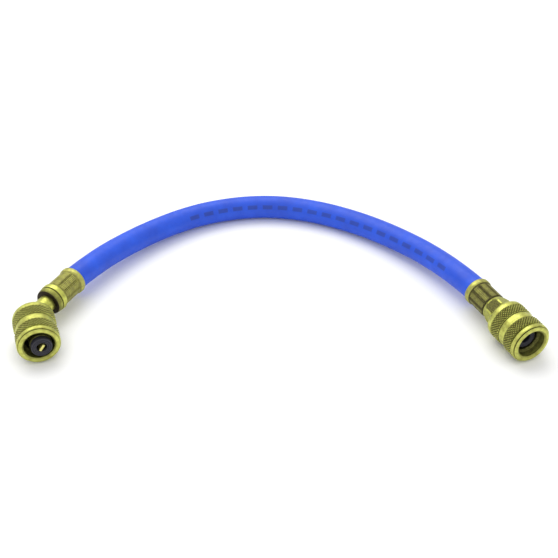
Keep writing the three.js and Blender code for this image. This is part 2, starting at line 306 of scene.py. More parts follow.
def laid(piece, place, name):
    """A copy of the piece with its own mesh, laid in its place in the part."""
    copy = piece.copy()
    copy.data = piece.data.copy()
    copy.name = name
    copy.data.name = name
    bpy.context.scene.collection.objects.link(copy)
    copy.data.transform(place)
    return copy


def drop(piece):
    bpy.data.objects.remove(piece, do_unlink=True)


# Coupling nut

KNURL_SIDES = 84
KNURL_DEPTH = 0.48
KNURL_ROWS = 7
KNURL_ROW = 0.65
KNURL_FLAT = 0.14  # reach of the worn flat on a tooth
REAR_BAND = 3.5
FRONT_BAND = 12.6
BAND_LENGTH = KNURL_ROWS * KNURL_ROW
REAR_BAND_RADIUS = 9.1
FRONT_BAND_RADIUS = 9.2
BANDS = ((REAR_BAND, REAR_BAND_RADIUS), (FRONT_BAND, FRONT_BAND_RADIUS))
MOUTH_RADIUS = 6.3
BORE_RADIUS = 5.55
REAR_HOLE_RADIUS = 4.4
NEAR = 0.05  # how far a vertex may be from where it is looked for


def knurl(piece, start, radius):
    """Diamond teeth on a turned band: every second corner of its grid is sunk, each square is
    creased from pit to pit, and the corners left standing are worn to small flats."""

    def row_of(y):
        return round((y - start) / KNURL_ROW)

    def on_band(r, y):
        in_rows = -0.1 < (y - start) / KNURL_ROW < KNURL_ROWS + 0.1
        return r > radius - KNURL_DEPTH - NEAR and in_rows

    def is_pit(y, angle):
        return (row_of(y) + round(angle / (360.0 / KNURL_SIDES))) % 2 == 1

    def is_tooth(r, y, angle):
        inner_row = 0 < row_of(y) < KNURL_ROWS
        return on_band(r, y) and r > radius - NEAR and inner_row and not is_pit(y, angle)

    press(piece, lambda r, y, angle: on_band(r, y) and is_pit(y, angle), KNURL_DEPTH, radius)
    choose(piece, lambda r, y, angle: on_band(r, y))
    bpy.ops.mesh.quads_convert_to_tris(quad_method="SHORTEST_DIAGONAL")
    bpy.ops.object.mode_set(mode="OBJECT")
    choose(piece, is_tooth)
    bpy.ops.mesh.bevel(
        offset=KNURL_FLAT * MM,
        offset_type="OFFSET",
        affect="VERTICES",
        segments=1,
    )
    bpy.ops.object.mode_set(mode="OBJECT")


def nut_blank():
    rear_rows = [(REAR_BAND_RADIUS, REAR_BAND + i * KNURL_ROW) for i in range(KNURL_ROWS + 1)]
    front_rows = [(FRONT_BAND_RADIUS, FRONT_BAND + i * KNURL_ROW) for i in range(KNURL_ROWS + 1)]
    rear_end = REAR_BAND + BAND_LENGTH
    front_end = FRONT_BAND + BAND_LENGTH
    profile = [
        (5.5, 0.0),
        (7.4, 0.0),
        (7.6, 0.05),
        (8.4, 0.62),
        (8.72, 1.05),
        (8.88, 1.6),
        (8.93, 2.4),
        (8.93, 3.2),
        *rear_rows,
        (8.66, rear_end + 0.1),
        (8.44, rear_end + 0.25),
        (8.44, rear_end + 0.45),
        (8.52, rear_end + 0.65),
        (8.54, rear_end + 1.6),
        (8.52, FRONT_BAND - 0.75),
        (8.48, FRONT_BAND - 0.4),
        (8.62, FRONT_BAND - 0.2),
        *front_rows,
        (8.66, front_end + 0.08),
        (8.5, front_end + 0.2),
        (8.5, front_end + 0.52),
        (8.9, front_end + 0.66),
        (9.04, front_end + 0.82),
        (9.08, front_end + 1.1),
        (8.98, front_end + 1.4),
        (8.98, front_end + 1.6),
        (9.06, front_end + 1.9),
        (9.0, front_end + 2.2),
        (8.84, front_end + 2.36),
        (8.36, front_end + 2.44),
        (8.3, front_end + 2.55),
        (8.32, front_end + 2.68),
        (8.5, front_end + 2.8),
        (8.48, NUT_LENGTH - 0.4),
        (8.34, NUT_LENGTH - 0.22),
        (8.12, NUT_LENGTH - 0.07),
        (7.88, NUT_LENGTH),
        (7.1, NUT_LENGTH),
        (6.94, NUT_LENGTH - 0.06),
        (6.4, NUT_LENGTH - 0.5),
        (MOUTH_RADIUS, NUT_LENGTH - 0.7),
        *[(MOUTH_RADIUS + (0.1 if i % 2 else 0.0), NUT_LENGTH - 1.0 - 0.35 * i) for i in range(8)],
        (MOUTH_RADIUS, NUT_LENGTH - 3.7),
        (BORE_RADIUS, NUT_LENGTH - 4.5),
        (BORE_RADIUS, 2.5),
        (REAR_HOLE_RADIUS, 2.2),
        (REAR_HOLE_RADIUS, 1.6),
    ]
    return turned("nut_blank", profile, KNURL_SIDES)


def nut_painted_shade(r, y, angle):
    """Painted shade in the pits of the knurling, in the grooves and down the bore."""
    from_mouth = NUT_LENGTH - y
    if r < 6.0 and y < 2.3:
        return 0.45
    if r < 7.0 and from_mouth > 0.03:
        return 0.3 + 0.12 * from_mouth
    for start, radius in BANDS:
        if start - NEAR < y < start + BAND_LENGTH + NEAR:
            return 0.92 if r < radius - 0.1 else 0.1
    front_end = FRONT_BAND + BAND_LENGTH
    grooves = (  # each one's y, the radius of its edges and half its width
        (REAR_BAND + BAND_LENGTH + 0.35, 8.5, 0.3),
        (front_end + 0.36, 8.55, 0.3),
        (front_end + 2.6, 8.4, 0.3),
        (FRONT_BAND - 0.4, 8.5, 0.1),
    )
    if any(abs(y - groove) < reach and r < top for groove, top, reach in grooves):
        return 1.0
    return 0.0


nut_blank_piece = nut_blank()
for band_start, band_radius in BANDS:
    knurl(nut_blank_piece, band_start, band_radius)
mark(nut_blank_piece, nut_painted_shade)
soften(nut_blank_piece, 24.0)
elbow_nut = laid(nut_blank_piece, outlet_frame(ELBOW_NUT_COCK) @ along(ELBOW_NUT_REAR), "elbow_nut")
straight_nut = laid(nut_blank_piece, inside_straight @ along(STRAIGHT_NUT_REAR), "straight_nut")
drop(nut_blank_piece)


# Ferrule

JAWS = 10
CRIMP_FROM = 3.5
CRIMP_TO = 12.3
FERRULE_RADIUS = 5.82
SHELL_SIDES = 12 * JAWS
ELBOW_FERRULE_SHADE = 0.5  # share of the painted shade that the elbow end's ferrule keeps, so that it is the lighter of the two


def ferrule_blank():
    rows = [(FERRULE_RADIUS, CRIMP_FROM + (CRIMP_TO - CRIMP_FROM) * i / 10) for i in range(11)]
    profile = [
        (5.62, 0.0),
        (5.95, 0.02),
        (6.18, 0.12),
        (6.31, 0.32),
        (6.35, 0.6),
        (6.35, 1.7),
        (6.28, 2.1),
        (6.1, 2.45),
        (5.84, 2.75),
        (5.72, 3.05),
        *rows,
        (5.6, 12.5),
        (5.42, 12.8),
        (5.36, 13.1),
        (3.7, 13.1),
        (3.7, 11.9),
        (4.8, 11.9),
        (4.8, 3.6),
        (5.62, 2.0),
    ]
    return turned("ferrule_blank", profile, SHELL_SIDES)


def between_jaws(angle):
    """Columns away from the nearest ridge that the jaws left, of the twelve to each jaw."""
    column = round(angle / (360.0 / SHELL_SIDES)) % 12
    return min(column, 12 - column)


def in_crimp(r, y):
    return r > 5.5 and CRIMP_FROM - NEAR < y < CRIMP_TO + NEAR


def ferrule_painted_shade(r, y, angle):
    """Painted shade inside, behind the lip and at the end, and along both sides of each jaw's
    ridge.
    """
    if r < 5.55 and y < 12.4:
        return 1.0
    if 2.6 < y < 3.2 or y > 12.4:
        return 0.95
    if in_crimp(r, y):
        return (0.75, 1.0, 0.72, 0.6, 0.55, 0.5, 0.5)[between_jaws(angle)]
    return 0.05


ferrule_piece = ferrule_blank()
press(ferrule_piece, lambda r, y, a: in_crimp(r, y) and between_jaws(a) == 1, 0.2, FERRULE_RADIUS)
press(ferrule_piece, lambda r, y, a: in_crimp(r, y) and between_jaws(a) >= 4, 0.07, FERRULE_RADIUS)
mark(ferrule_piece, ferrule_painted_shade)
soften(ferrule_piece, 28.0)
elbow_ferrule = laid(ferrule_piece, inside_elbow, "elbow_ferrule")
for vertex_shade in elbow_ferrule.data.attributes["painted_shade"].data:
    vertex_shade.value *= ELBOW_FERRULE_SHADE
straight_ferrule = laid(ferrule_piece, inside_straight, "straight_ferrule")
drop(ferrule_piece)


# Stems

TUBE_RADIUS = 3.85
BEND_RADIUS = 6.5
COLLAR_START = 13.4  # just past the ferrule's end
COLLAR_END = 19.2
TUBE_START = 18.6  # inside the collar
FLANGE_RADIUS = 4.6
FLANGE_LENGTH = 6.7
FLANGE_CONE = 0.8
FLANGE_EDGE = 0.3
STEM_BORE = 1.95
BORE_DRAWN = 4.0  # how deep the bore is drawn
ELBOW_END = ELBOW_NUT_REAR + NUT_LENGTH + ELBOW_GASKET_OUT - GASKET_LENGTH - TOUCH
STRAIGHT_END = STRAIGHT_NUT_REAR + NUT_LENGTH - STRAIGHT_GASKET_IN - GASKET_LENGTH - TOUCH


def thick_end(end):
    """The outline of a tube's thick end, which holds the nut on, and of its bore's start."""
    return [
        (TUBE_RADIUS, end - FLANGE_LENGTH),
        (FLANGE_RADIUS, end - FLANGE_LENGTH + FLANGE_CONE),
        (FLANGE_RADIUS, end - FLANGE_EDGE),
        (FLANGE_RADIUS - FLANGE_EDGE, end),
        (STEM_BORE, end),
        (STEM_BORE, end - BORE_DRAWN),
    ]


def elbow_collar():
    return turned(
        "elbow_collar",
        [
            (0.0, COLLAR_START),
            (5.9, COLLAR_START),
            (6.2, 13.52),
            (6.36, 13.75),
            (6.4, 14.1),
            (6.4, 15.6),
            (6.32, 15.9),
            (6.08, 16.1),
            (5.98, 16.3),
            (6.06, 16.55),
            (6.2, 16.75),
            (6.16, 17.2),
            (5.98, 18.3),
            (5.85, 18.8),
            (5.62, 19.1),
            (5.4, COLLAR_END),
            (0.0, COLLAR_END),
        ],
        96,
    )


def elbow_tube():
    """A tube's outside, drawn from the collar's nose, spun through the bend about its centre and
    drawn on to the thick end that holds the nut, with the start of its bore."""
    setback = BEND_RADIUS * math.tan(math.radians(ELBOW_ANGLE / 2))
    bend_start = ELBOW_VERTEX - setback
    bpy.ops.mesh.primitive_circle_add(
        vertices=48,
        radius=TUBE_RADIUS * MM,
        location=(0.0, TUBE_START * MM, 0.0),
        rotation=(math.radians(90.0), 0.0, 0.0),
    )
    piece = bpy.context.object
    piece.name = "elbow_tube"
    bpy.ops.object.transform_apply(location=True, rotation=True, scale=True)
    bpy.ops.object.mode_set(mode="EDIT")
    bpy.ops.mesh.select_all(action="SELECT")
    bpy.ops.mesh.edge_face_add()
    step = (bend_start - TUBE_START) / 4
    for _ in range(4):
        bpy.ops.mesh.extrude_region_move(TRANSFORM_OT_translate={"value": (0.0, step * MM, 0.0)})
    bpy.ops.mesh.spin(
        steps=14,
        angle=-math.radians(ELBOW_ANGLE),
        center=(-BEND_RADIUS * MM, bend_start * MM, 0.0),
        axis=(0.0, 0.0, 1.0),
    )
    turn = Matrix.Rotation(math.radians(ELBOW_ANGLE), 4, "Z")
    vertex = Matrix.Translation((0.0, ELBOW_VERTEX * MM, 0.0)) @ turn
    position = setback
    radius = TUBE_RADIUS
    for next_radius, end in [(TUBE_RADIUS, 8.0), *thick_end(ELBOW_END)]:
        move = turn.to_3x3() @ Vector((0.0, (end - position) * MM, 0.0))
        bpy.ops.mesh.extrude_region_move(TRANSFORM_OT_translate={"value": move})
        centre = vertex @ Vector((0.0, end * MM, 0.0))
        share = next_radius / radius
        bpy.ops.transform.resize(value=(share, share, share), center_override=centre)
        position, radius = end, next_radius
    weld()
    return piece


def collar_painted_shade(r, y, angle):
    """Painted shade: most on the collar's front face, which lies in its own shade, and where the
    tube leaves it, nearly as much on its back and in its groove, and a growing share along its
    nose.
    """
    if y > 18.9:
        return 1.5
    if y < 13.6 or abs(y - 16.3) < 0.25:
        return 0.95
    return 0.3 + 0.2 * (y - 16.5) if y > 16.4 else 0.0


def tube_painted_shade(r, y, angle):
    """Painted shade where the tube leaves the collar and on its end inside the nut, which is the
    part far off the fitting's axis."""
    in_nut = r > 8.0
    return 0.9 if y < 19.9 or in_nut else 0.05


collar = elbow_collar()
mark(collar, collar_painted_shade)
tube = elbow_tube()
mark(tube, tube_painted_shade)
soften(collar, 30.0)
soften(tube, 30.0)
elbow_stem_blank = joined("elbow_stem_blank", [collar, tube])
elbow_stem = laid(elbow_stem_blank, inside_elbow, "elbow_stem_piece")
drop(elbow_stem_blank)

HEX_ACROSS_FLATS = 11.5
HEX_LENGTH = 5.8  # from COLLAR_START to COLLAR_END
HEX_MIDDLE = 16.3
HEX_TURN = 7.0  # degrees that the hexagon is turned from a corner straight up
FLAT_EDGE = 0.4  # how far in from its edges a flat holds painted shade


def hex_collar():
    """A hexagonal bar end, its corners cut by a long cone behind and a short one in front."""
    bpy.ops.mesh.primitive_cylinder_add(
        vertices=6,
        radius=HEX_ACROSS_FLATS / 2 / math.cos(math.pi / 6) * MM,
        depth=HEX_LENGTH * MM,
        location=(0.0, HEX_MIDDLE * MM, 0.0),
        rotation=(math.radians(90.0), math.radians(HEX_TURN), 0.0),
    )
    piece = bpy.context.object
    piece.name = "hex_collar"
    bpy.ops.object.transform_apply(location=True, rotation=True, scale=True)
    cones = turned(
        "hex_cones",
        [
            (0.0, COLLAR_START),
            (5.6, COLLAR_START),
            (6.5, 16.2),
            (6.5, 18.6),
            (6.1, 19.1),
            (5.9, COLLAR_END),
            (0.0, COLLAR_END),
        ],
        96,
    )
    bpy.context.view_layer.objects.active = piece
    cut = piece.modifiers.new("cones", "BOOLEAN")
    cut.operation = "INTERSECT"
    cut.solver = "EXACT"
    cut.object = cones
    bpy.ops.object.modifier_apply(modifier=cut.name)
    drop(cones)
    # An edge loop inside each flat, so that the flat can hold painted shade and its edges stay
    # bright
    bpy.ops.object.mode_set(mode="EDIT")
    bpy.ops.mesh.select_mode(type="FACE")
    bpy.ops.mesh.select_all(action="DESELECT")
    bpy.ops.object.mode_set(mode="OBJECT")
    for face in piece.data.polygons:
        face.select = abs(face.normal.y) < 0.02 and face.area > 5.0 * MM * MM
    bpy.ops.object.mode_set(mode="EDIT")
    bpy.ops.mesh.inset(thickness=FLAT_EDGE * MM, use_individual=True)
    bpy.ops.mesh.select_mode(type="VERT")
    bpy.ops.object.mode_set(mode="OBJECT")
    return piece


def straight_tube():
    return turned(
        "straight_tube",
        [
            (0.0, TUBE_START),
            (TUBE_RADIUS, TUBE_START),
            *thick_end(STRAIGHT_END),
            (0.0, STRAIGHT_END - BORE_DRAWN),
        ],
        48,
    )


def hex_painted_shade(r, y, angle):
    """Painted shade on the front face and inside the bright edges of the flats, most of it on the
    flat that faces up and to the inside of the bow."""
    if y > 19.1:
        return 0.9
    flat = HEX_ACROSS_FLATS / 2
    turned_by = (angle + HEX_TURN + 30.0) % 60.0 - 30.0
    off_flat = abs(r * math.cos(math.radians(turned_by)) - flat)
    off_corner = abs(r * math.sin(math.radians(turned_by)))
    inside_edges = off_flat < 0.02 and off_corner < flat * math.tan(math.radians(30.0)) - 0.3
    if not inside_edges or not 14.2 < y < 19.0:
        return 0.05
    up_and_inside = abs(angle - 60.0 + HEX_TURN) < 30.0
    return 0.85 if up_and_inside else 0.3


hexagon = hex_collar()
mark(hexagon, hex_painted_shade)
neck = straight_tube()
# Painted shade all over the neck, which lies inside the nut
mark(neck, lambda r, y, angle: 0.9)
soften(hexagon, 14.0)
soften(neck, 30.0)
straight_stem_blank = joined("straight_stem_blank", [hexagon, neck])
straight_stem = laid(straight_stem_blank, inside_straight, "straight_stem_piece")
drop(straight_stem_blank)


# Gaskets and core depressor

GASKET_RADIUS = 4.4
GASKET_BORE = 2.1
BLADE_WIDTH = 3.2
BLADE_LENGTH = 7.0
BLADE_THICKNESS = 1.1
BLADE_OUT = 0.3  # how far the blade stands out of the gasket's face
BLADE_TURN = 53.0  # degrees about the bore, from level


def gasket_blank():
    """A moulded washer with a rounded edge, two low rings on its face and a dished bore."""
    top = GASKET_LENGTH
    return turned(
        "gasket_blank",
        [
            (GASKET_BORE, 0.0),
            (GASKET_RADIUS, 0.0),
            (GASKET_RADIUS, top - 0.55),
            (4.34, top - 0.3),
            (4.22, top - 0.12),
            (4.06, top - 0.02),
            (3.9, top),
            (3.8, top - 0.06),
            (3.7, top - 0.24),
            (3.54, top - 0.26),
            (3.44, top - 0.06),
            (3.34, top),
            (3.14, top),
            (3.04, top - 0.06),
            (2.94, top - 0.24),
            (2.78, top - 0.26),
            (2.68, top - 0.06),
            (2.58, top - 0.02),
            (2.46, top - 0.04),
            (2.26, top - 0.16),
            (2.14, top - 0.4),
            (GASKET_BORE, top - 0.7),
        ],
        72,
    )


def blade():
    """A strip stamped from sheet, with rounded corners and a broken edge round its tip."""
    bpy.ops.mesh.primitive_cube_add(size=MM, location=(0.0, 0.0, 0.0))
    piece = bpy.context.object
    piece.name = "blade"
    bpy.ops.object.mode_set(mode="EDIT")
    bpy.ops.mesh.select_all(action="SELECT")
    size = (BLADE_WIDTH, BLADE_LENGTH, BLADE_THICKNESS)
    bpy.ops.transform.resize(value=size, center_override=(0.0, 0.0, 0.0))
    bpy.ops.mesh.select_mode(type="EDGE")
    bpy.ops.mesh.select_all(action="DESELECT")
    bpy.ops.object.mode_set(mode="OBJECT")
    for edge in piece.data.edges:
        a, b = (piece.data.vertices[i].co for i in edge.vertices)
        edge.select = abs(a.y - b.y) > BLADE_LENGTH / 2 * MM
    bpy.ops.object.mode_set(mode="EDIT")
    bpy.ops.mesh.bevel(offset=0.32 * MM, offset_type="OFFSET", segments=5, affect="EDGES")
    bpy.ops.mesh.select_all(action="DESELECT")
    bpy.ops.object.mode_set(mode="OBJECT")
    for edge in piece.data.edges:
        a, b = (piece.data.vertices[i].co for i in edge.vertices)
        edge.select = abs(a.y - b.y) < 0.01 * MM and a.y > (BLADE_LENGTH / 2 - 0.1) * MM
    bpy.ops.object.mode_set(mode="EDIT")
    bpy.ops.mesh.bevel(offset=0.12 * MM, offset_type="OFFSET", segments=3, affect="EDGES")
    bpy.ops.mesh.select_all(action="SELECT")
    bpy.ops.mesh.normals_make_consistent(inside=False)
    bpy.ops.object.mode_set(mode="OBJECT")
    return piece


gasket_piece = gasket_blank()
mark(gasket_piece, lambda r, y, angle: 0.0)
soften(gasket_piece, 40.0)
elbow_gasket = laid(gasket_piece, outlet_frame() @ along(ELBOW_END + TOUCH), "elbow_gasket")
straight_gasket = laid(
    gasket_piece,
    inside_straight @ along(STRAIGHT_END + TOUCH),
    "straight_gasket",
)
drop(gasket_piece)

blade_piece = blade()
# Painted shade on all of the blade but its tip, which stands out of the gasket's bore
mark(blade_piece, lambda r, y, angle: 0.0 if y > BLADE_LENGTH / 2 - 0.2 else 0.8)
soften(blade_piece, 30.0)
blade_middle = ELBOW_END + TOUCH + GASKET_LENGTH + BLADE_OUT - BLADE_LENGTH / 2
blade_turned = Matrix.Rotation(math.radians(BLADE_TURN), 4, "Y")
blade_place = outlet_frame() @ along(blade_middle) @ blade_turned
depressor = laid(blade_piece, blade_place, "depressor_blade")
drop(blade_piece)


# Materials

MIX_A, MIX_B, MIXED = 6, 7, 2  # sockets of a Mix node that mixes colours
HATCH_RADIUS = 5.8
HATCH_SLANT = 0.84  # slope of the jaws' grooves
HATCH_WAVE = 4.4  # radians a millimetre
LAY_LINE_TURN = 60.0 / 360.0  # from the top, towards the inside of the bow
LINE_MIDDLE = 0.148  # along the hose, in metres, as are the next two
LINE_HALF = 0.076
DASH_PITCH = 0.008


def colour(code):
    """Linear RGBA from an sRGB hex code."""
    channels = [int(code[i : i + 2], 16) / 255.0 for i in (0, 2, 4)]
    return (*[c / 12.92 if c <= 0.04045 else ((c + 0.055) / 1.055) ** 2.4 for c in channels], 1.0)


def node(tree, kind, inputs=None, **settings):
    """Adds a node, with its settings, and its inputs as values or as the sockets that feed them."""
    made = tree.nodes.new(kind)
    for name, value in settings.items():
        setattr(made, name, value)
    for socket, value in (inputs or {}).items():
        if isinstance(value, bpy.types.NodeSocket):
            tree.links.new(value, made.inputs[socket])
        else:
            made.inputs[socket].default_value = value
    return made


def blank_material(name):
    material = bpy.data.materials.new(name)
    material.use_nodes = True
    tree = material.node_tree
    tree.nodes.clear()
    surface = node(tree, "ShaderNodeBsdfPrincipled")
    node(tree, "ShaderNodeOutputMaterial", {"Surface": surface.outputs[0]})
    return material, tree, surface


def brass(name, bright, dull, roughness, mark_scale, hatch):
    """Free-machining brass, turned or drawn, unlacquered and slightly greened by coolant. The eye
    gets a warm yellow-green metal with soft streaky highlights, tool marks round the axis, and
    painted shade in its hollows and wherever it lies in shade. Hatch is the depth in millimetres of
    the criss-cross that the crimping jaws leave; where it is set, painted shade also darkens its
    grooves."""
    material, tree, surface = blank_material(name)
    place = node(tree, "ShaderNodeAttribute", attribute_name="place").outputs["Vector"]
    painted_shade = node(tree, "ShaderNodeAttribute", attribute_name="painted_shade").outputs["Fac"]
    split = node(tree, "ShaderNodeSeparateXYZ", {0: place})
    level = node(tree, "ShaderNodeVectorMath", {0: place, 1: (1.0, 0.0, 1.0)}, operation="MULTIPLY")
    radius = node(tree, "ShaderNodeVectorMath", {0: level.outputs[0]}, operation="LENGTH")
    turn = node(
        tree,
        "ShaderNodeMath",
        {0: split.outputs["Z"], 1: split.outputs["X"]},
        operation="ARCTAN2",
    )
    # Tool marks follow the lathe: they change along the axis and the radius, hardly round it
    lathe = node(
        tree,
        "ShaderNodeCombineXYZ",
        {"X": split.outputs["Y"], "Y": radius.outputs["Value"], "Z": turn.outputs[0]},
    )
    stretch = node(
        tree,
        "ShaderNodeVectorMath",
        {0: lathe.outputs[0], 1: (mark_scale, mark_scale, 0.35)},
        operation="MULTIPLY",
    )
    marks = node(
        tree,
        "ShaderNodeTexNoise",
        {"Vector": stretch.outputs[0], "Scale": 1.0, "Detail": 3.0, "Roughness": 0.6},
    )
    # Clouds of tarnish about 2 mm across
    clouds = node(
        tree,
        "ShaderNodeTexNoise",
        {"Vector": place, "Scale": 0.55, "Detail": 4.0, "Roughness": 0.62},
    )
    specks = node(
        tree,
        "ShaderNodeTexNoise",
        {"Vector": place, "Scale": 2.6, "Detail": 2.0, "Roughness": 0.5},
    )
    tarnish = node(
        tree,
        "ShaderNodeMapRange",
        {"Value": clouds.outputs["Fac"], "From Min": 0.36, "From Max": 0.68},
    )
    metal = node(
        tree,
        "ShaderNodeMix",
        {"Factor": tarnish.outputs[0], MIX_A: colour(bright), MIX_B: colour(dull)},
        data_type="RGBA",
    )
    # Painted shade, darkest in the hollows and broken up by specks
    broken = node(
        tree,
        "ShaderNodeMapRange",
        {"Value": specks.outputs["Fac"], "From Min": 0.3, "From Max": 0.7,
         "To Min": 0.8, "To Max": 1.1},
    )
    shade_amount = node(
        tree,
        "ShaderNodeMath",
        {0: painted_shade, 1: broken.outputs[0]},
        operation="MULTIPLY",
        use_clamp=True,
    )
    darkened_metal = node(
        tree,
        "ShaderNodeMix",
        {"Factor": shade_amount.outputs[0], MIX_A: metal.outputs[MIXED], MIX_B: colour("3A342A")},
        data_type="RGBA",
    )
    rough = node(
        tree,
        "ShaderNodeMapRange",
        {"Value": marks.outputs["Fac"], "From Min": 0.3, "From Max": 0.7,
         "To Min": roughness - 0.07, "To Max": roughness + 0.1},
    )
    rougher = node(
        tree,
        "ShaderNodeMath",
        {0: shade_amount.outputs[0], 1: 0.25, 2: rough.outputs[0]},
        operation="MULTIPLY_ADD",
    )
    # The criss-cross of the jaws: two families of grooves at 40 degrees to the axis, drawn
    # 1.1 mm apart, as coarse as they need to be to show
    arc = node(tree, "ShaderNodeMath", {0: turn.outputs[0], 1: HATCH_RADIUS}, operation="MULTIPLY")
    heights = []
    for sign in (1.0, -1.0):
        slant = node(
            tree,
            "ShaderNodeMath",
            {0: split.outputs["Y"], 1: sign * HATCH_SLANT, 2: arc.outputs[0]},
            operation="MULTIPLY_ADD",
        )
        wave = node(
            tree,
            "ShaderNodeMath",
            {0: slant.outputs[0], 1: HATCH_WAVE},
            operation="MULTIPLY",
        )
        sine = node(tree, "ShaderNodeMath", {0: wave.outputs[0]}, operation="SINE")
        heights.append(sine.outputs[0])
    both = node(tree, "ShaderNodeMath", {0: heights[0], 1: heights[1]}, operation="MULTIPLY")
    past_lip = node(
        tree,
        "ShaderNodeMapRange",
        {"Value": split.outputs["Y"], "From Min": 3.0, "From Max": 3.6},
    )
    cross = node(
        tree,
        "ShaderNodeMath",
        {0: both.outputs[0], 1: past_lip.outputs[0]},
        operation="MULTIPLY",
    )
    relief = node(tree, "ShaderNodeMath", {0: cross.outputs[0], 1: hatch}, operation="MULTIPLY")
    total = node(
        tree,
        "ShaderNodeMath",
        {0: marks.outputs["Fac"], 1: 0.02, 2: relief.outputs[0]},
        operation="MULTIPLY_ADD",
    )
    bump = node(
        tree,
        "ShaderNodeBump",
        {"Height": total.outputs[0], "Strength": 1.0, "Distance": MM},
    )
    shaded = darkened_metal.outputs[MIXED]
    if hatch:
        # Painted shade in the grooves of the jaws' criss-cross, darkening the colour towards olive
        hatch_shade = node(
            tree,
            "ShaderNodeMapRange",
            {"Value": cross.outputs[0], "From Min": -0.7, "From Max": 0.0,
             "To Min": 0.3, "To Max": 0.0},
        )
        shaded = node(
            tree,
            "ShaderNodeMix",
            {"Factor": hatch_shade.outputs[0], MIX_A: darkened_metal.outputs[MIXED], MIX_B: colour("5A5428")},
            data_type="RGBA",
        ).outputs[MIXED]
    tree.links.new(shaded, surface.inputs["Base Color"])
    tree.links.new(rougher.outputs[0], surface.inputs["Roughness"])
    tree.links.new(bump.outputs[0], surface.inputs["Normal"])
    surface.inputs["Metallic"].default_value = 1.0
    return material


def gasket_rubber():
    """Moulded nitrile rubber, matt and blue-black, with a fine dusty bloom."""
    material, tree, surface = blank_material("moulded_nitrile_rubber")
    place = node(tree, "ShaderNodeAttribute", attribute_name="place").outputs["Vector"]
    bloom = node(tree, "ShaderNodeTexNoise", {"Vector": place, "Scale": 1.4, "Detail": 4.0})
    grain = node(tree, "ShaderNodeTexNoise", {"Vector": place, "Scale": 9.0, "Detail": 2.0})
    share = node(
        tree,
        "ShaderNodeMapRange",
        {"Value": bloom.outputs["Fac"], "From Min": 0.35, "From Max": 0.7},
    )
    mixed = node(
        tree,
        "ShaderNodeMix",
        {"Factor": share.outputs[0], MIX_A: colour("1A1A26"), MIX_B: colour("2A2936")},
        data_type="RGBA",
    )
    bump = node(
        tree,
        "ShaderNodeBump",
        {"Height": grain.outputs["Fac"], "Strength": 0.4, "Distance": 0.05 * MM},
    )
    tree.links.new(mixed.outputs[MIXED], surface.inputs["Base Color"])
    tree.links.new(bump.outputs[0], surface.inputs["Normal"])
    surface.inputs["Roughness"].default_value = 0.55
    surface.inputs["IOR"].default_value = 1.52
    return material


